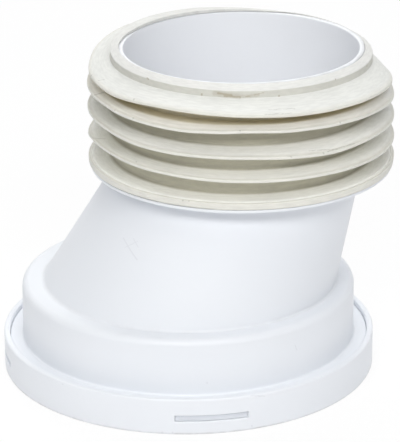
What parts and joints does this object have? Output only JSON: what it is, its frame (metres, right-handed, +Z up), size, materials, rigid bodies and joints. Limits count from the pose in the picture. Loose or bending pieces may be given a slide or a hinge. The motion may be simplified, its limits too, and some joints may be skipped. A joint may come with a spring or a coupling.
{
  "type": "offset toilet pan connector",
  "caption": "White plastic offset cuff that joins a toilet's outlet to a soil pipe: a sealed bell with a snap ring, a slanting tube and a finned rubber sleeve on the outlet spigot.",
  "frame": {"origin": "centre of the ring's opening for the toilet's outlet, in the plane that the ring stands on", "axes": "+Z up along the inlet and outlet axes, from the toilet to the soil pipe; +X the way the outlet is offset"},
  "size_m": [0.1503, 0.1432, 0.1271],
  "materials": {
    "white_plastic": "glossy cool white moulded plastic",
    "cream_rubber": "matt cream rubber"
  },
  "bodies": {
    "root": {"offset_body": "white_plastic", "finned_sleeve": "cream_rubber", "retaining_ring": "white_plastic", "inlet_lip_seal": "cream_rubber"}
  },
  "joints": []
}
